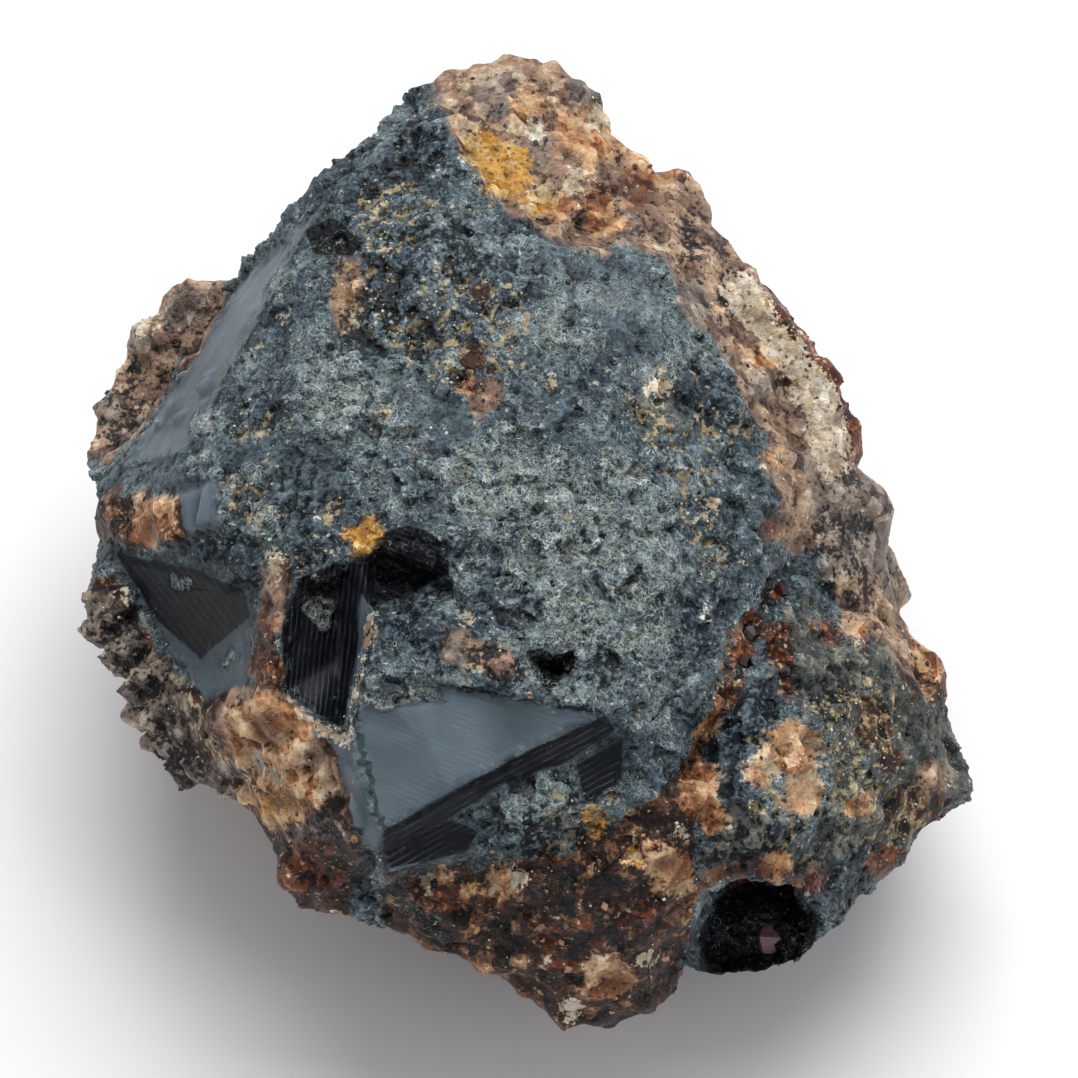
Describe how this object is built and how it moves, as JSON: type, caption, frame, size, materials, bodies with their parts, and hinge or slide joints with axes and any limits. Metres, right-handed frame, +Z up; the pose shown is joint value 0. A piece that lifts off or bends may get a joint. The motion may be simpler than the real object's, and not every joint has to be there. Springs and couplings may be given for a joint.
{
  "type": "garnet crystal cluster",
  "caption": "Hand-sized dark garnet and brown matrix stone with crystal faces, striated steps, ledges, pits and a hollow, lying on a broken flat.",
  "frame": {"origin": "middle of the box seen from above, on the surface that the stone lies on", "axes": "+Z up; the main face looks up and towards -Y, with its pointed top towards +Y; X runs across it"},
  "size_m": [0.0604, 0.0632, 0.0412],
  "materials": {
    "garnet_in_matrix": "dark drusy garnet with brown matrix, dull to glassy"
  },
  "bodies": {
    "root": {"garnet_crystal_cluster": "garnet_in_matrix"}
  },
  "joints": []
}
